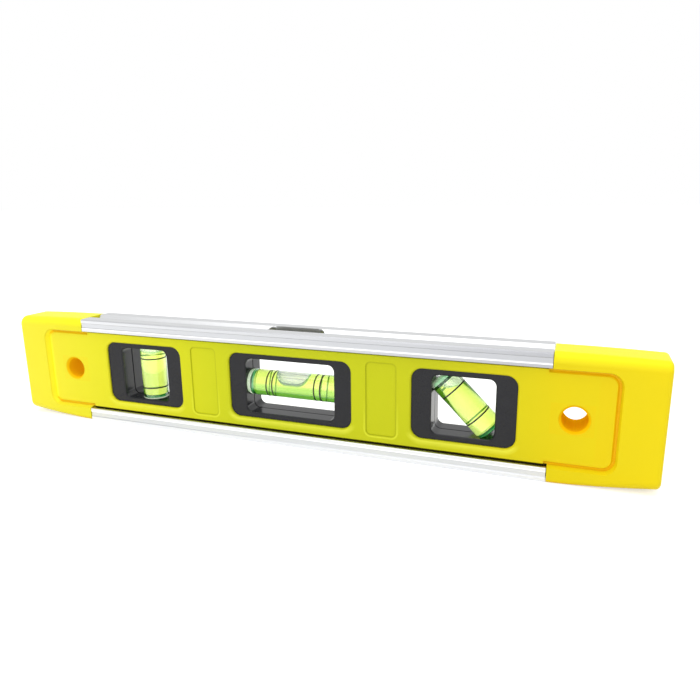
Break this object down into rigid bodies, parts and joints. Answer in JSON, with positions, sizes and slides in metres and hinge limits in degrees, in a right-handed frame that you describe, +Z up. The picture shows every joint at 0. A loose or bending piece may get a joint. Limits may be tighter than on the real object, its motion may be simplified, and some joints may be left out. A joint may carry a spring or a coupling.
{
  "type": "spirit level",
  "caption": "Torpedo spirit level: yellow moulded body, grooved aluminium rails above and below, and plumb, level and angled vials in black framed windows.",
  "frame": {"origin": "centre of the base, on the plane the bottom rail stands on", "axes": "+X along the level towards the end with the angled vial, +Y from the front face to the rear face, +Z up"},
  "size_m": [0.23, 0.0154, 0.0396],
  "materials": {
    "moulding": "satin moulded yellow plastic",
    "rails": "satin anodised extrusion",
    "magnets": "bright plated",
    "cradles": "fine moulded black",
    "vial_tubes": "clear polished acrylic",
    "ring_marks": "black reading rings",
    "vial_liquid": "clear yellow-green spirit",
    "vial_air": "air bubble"
  },
  "bodies": {
    "housing": {"body": "moulding", "top_rail": "rails", "bottom_rail": "rails", "base_magnets": "magnets", "plumb_cradle_front": "cradles", "plumb_cradle_rear": "cradles", "plumb_vial": "vial_tubes", "plumb_vial_plug": "vial_tubes", "plumb_vial_rings": "ring_marks", "plumb_liquid": "vial_liquid", "level_cradle_front": "cradles", "level_cradle_rear": "cradles", "level_vial": "vial_tubes", "level_vial_plug": "vial_tubes", "level_vial_rings": "ring_marks", "level_liquid": "vial_liquid", "angle_cradle_front": "cradles", "angle_cradle_rear": "cradles", "angle_vial": "vial_tubes", "angle_vial_plug": "vial_tubes", "angle_vial_rings": "ring_marks", "angle_liquid": "vial_liquid"},
    "level_air": {"level_bubble": "vial_air"},
    "plumb_air": {"plumb_bubble": "vial_air"},
    "angle_air": {"angle_bubble": "vial_air"}
  },
  "joints": [
    {"name": "level_bubble_slide", "type": "slide", "parent": "housing", "child": "level_air", "axis": [1, 0, 0], "range_m": [-0.0075, 0.0095], "stiffness_N_per_m": 20, "springref_m": 0.0011, "deforming": ["level_liquid"]},
    {"name": "plumb_bubble_slide", "type": "slide", "parent": "housing", "child": "plumb_air", "axis": [0, 0, -1], "range_m": [0, 0.0135], "stiffness_N_per_m": 20, "springref_m": -0.002, "deforming": ["plumb_liquid"]},
    {"name": "angle_bubble_slide", "type": "slide", "parent": "housing", "child": "angle_air", "axis": [0.7071, 0, -0.7071], "range_m": [0, 0.0145], "stiffness_N_per_m": 20, "springref_m": -0.002, "deforming": ["angle_liquid"]}
  ]
}
